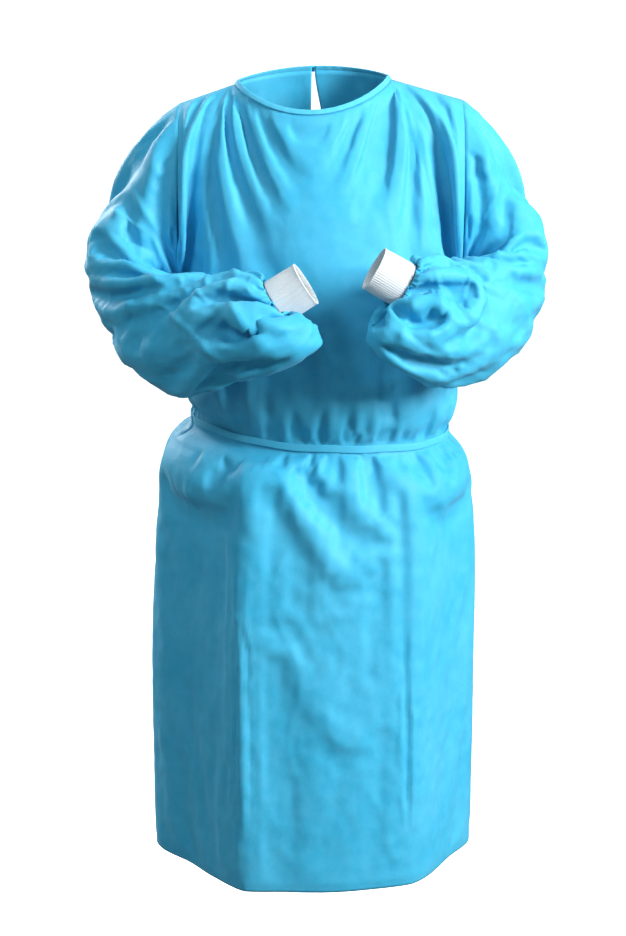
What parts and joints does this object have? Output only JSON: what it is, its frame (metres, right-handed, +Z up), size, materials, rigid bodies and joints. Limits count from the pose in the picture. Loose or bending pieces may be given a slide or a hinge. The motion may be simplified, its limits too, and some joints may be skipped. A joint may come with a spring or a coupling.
{
  "type": "isolation gown",
  "caption": "Long-sleeved open-back isolation gown, worn and empty, with bound neck, tied waist belt, knit cuffs and arms bent forward.",
  "frame": {"origin": "midway between the two high shoulder points, where the neckline meets the shoulder seams and the wearer's shoulders carry the gown", "axes": "+Z up from the hem to the neck, the wearer faces -Y, +X towards the wearer's left"},
  "size_m": [0.6473, 0.4345, 1.161],
  "materials": {
    "blue nonwoven": "thin light-blue nonwoven, soft sheen, slightly see-through",
    "pale blue binding": "folded strip of the same nonwoven, matte",
    "white knit": "white ribbed knit, matte"
  },
  "bodies": {
    "root": {"front": "blue nonwoven", "back_left": "blue nonwoven", "back_right": "blue nonwoven", "sleeve_left": "blue nonwoven", "sleeve_right": "blue nonwoven", "cuff_left": "white knit", "cuff_right": "white knit", "neck_binding": "pale blue binding", "neck_knot": "pale blue binding", "neck_tail_left": "pale blue binding", "neck_tail_right": "pale blue binding", "belt": "pale blue binding", "belt_knot": "pale blue binding", "belt_tail_left": "pale blue binding", "belt_tail_right": "pale blue binding"}
  },
  "joints": []
}
